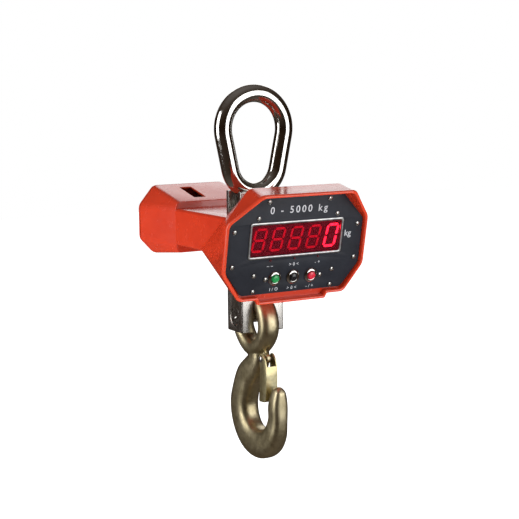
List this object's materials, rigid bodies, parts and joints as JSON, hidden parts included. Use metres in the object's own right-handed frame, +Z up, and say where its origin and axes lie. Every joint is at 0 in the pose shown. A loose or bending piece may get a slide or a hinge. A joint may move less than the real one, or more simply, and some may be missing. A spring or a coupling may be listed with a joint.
{
  "type": "crane scale",
  "caption": "Hanging digital crane scale: lifting ring, weighing block, painted housing with LED readout and push buttons, and a swinging safety hook with sprung latch.",
  "frame": {"origin": "inner crown of the lifting ring, where the scale hangs", "axes": "+Z up, display faces -Y, +X to the right of the display"},
  "size_m": [0.224, 0.351, 0.5337],
  "materials": {
    "ring_chrome": "polished",
    "cell_chrome": "polished",
    "pin_steel": "satin",
    "spring_steel": "satin",
    "bolt_steel": "satin",
    "screw_steel": "polished",
    "frame_silver": "satin",
    "bezel_chrome": "polished",
    "orange_paint": "gloss",
    "panel_grey": "satin",
    "gasket_rubber": "matte",
    "cable_rubber": "matte",
    "red_filter": "gloss",
    "digit": "satin",
    "lamp": "gloss",
    "board_green": "satin",
    "black_plastic": "satin",
    "battery_plastic": "satin",
    "cap_green": "gloss",
    "cap_black": "gloss",
    "cap_red": "gloss",
    "hook_zinc": "satin",
    "latch_zinc": "satin"
  },
  "bodies": {
    "ring": {"lifting_ring": "ring_chrome"},
    "scale_body": {"battery_pack": "battery_plastic", "battery_tray": "pin_steel", "bezel_black": "bezel_chrome", "bezel_green": "bezel_chrome", "bezel_red": "bezel_chrome", "bracket_left": "pin_steel", "bracket_right": "pin_steel", "charge_socket": "black_plastic", "cover_gasket": "gasket_rubber", "cover_screw_1": "screw_steel", "cover_screw_2": "screw_steel", "cover_screw_3": "screw_steel", "cover_screw_4": "screw_steel", "display_board": "board_green", "display_panel": "panel_grey", "display_window": "red_filter", "gauge_cover": "pin_steel", "hook_pin": "pin_steel", "hook_pin_clip": "spring_steel", "led_digit_1": "digit", "led_digit_2": "digit", "led_digit_3": "digit", "led_digit_4": "digit", "led_digit_5": "digit", "load_cell": "cell_chrome", "main_housing": "orange_paint", "panel_gasket": "gasket_rubber", "panel_screw_01": "screw_steel", "panel_screw_02": "screw_steel", "panel_screw_03": "screw_steel", "panel_screw_04": "screw_steel", "panel_screw_05": "screw_steel", "panel_screw_06": "screw_steel", "panel_screw_07": "screw_steel", "panel_screw_08": "screw_steel", "panel_screw_09": "screw_steel", "panel_screw_10": "screw_steel", "panel_screw_11": "screw_steel", "panel_screw_12": "screw_steel", "panel_screw_13": "screw_steel", "panel_screw_14": "screw_steel", "rear_cover": "orange_paint", "ring_pin": "pin_steel", "ring_pin_clip": "spring_steel", "sensor_cable": "cable_rubber", "status_led_1": "lamp", "status_led_2": "lamp", "status_led_3": "lamp", "switch_black": "black_plastic", "switch_green": "black_plastic", "switch_red": "black_plastic", "window_frame": "frame_silver"},
    "button_green": {"button_green": "cap_green"},
    "button_black": {"button_black": "cap_black"},
    "button_red": {"button_red": "cap_red"},
    "hook": {"hook": "hook_zinc", "latch_bolt": "bolt_steel", "latch_spring": "spring_steel"},
    "latch": {"latch": "latch_zinc"}
  },
  "joints": [
    {"name": "ring_swing", "type": "hinge", "parent": "ring", "child": "scale_body", "pos_m": [0, 0, -0.161], "axis": [0, 1, 0], "range_deg": [-12, 12]},
    {"name": "hook_swing", "type": "hinge", "parent": "scale_body", "child": "hook", "pos_m": [0, 0, -0.3018], "axis": [1, 0, 0], "range_deg": [-18, 18]},
    {"name": "latch_hinge", "type": "hinge", "parent": "hook", "child": "latch", "pos_m": [0, -0.029, -0.3603], "axis": [1, 0, 0], "range_deg": [0, 22], "stiffness_Nm_per_rad": 0.08, "springref_deg": -20.05},
    {"name": "press_green", "type": "slide", "parent": "scale_body", "child": "button_green", "axis": [0, 0.981, 0.1942], "range_m": [0, 0.002], "stiffness_N_per_m": 300, "springref_m": -0.001},
    {"name": "press_black", "type": "slide", "parent": "scale_body", "child": "button_black", "axis": [0, 0.981, 0.1942], "range_m": [0, 0.002], "stiffness_N_per_m": 300, "springref_m": -0.001},
    {"name": "press_red", "type": "slide", "parent": "scale_body", "child": "button_red", "axis": [0, 0.981, 0.1942], "range_m": [0, 0.002], "stiffness_N_per_m": 300, "springref_m": -0.001}
  ]
}
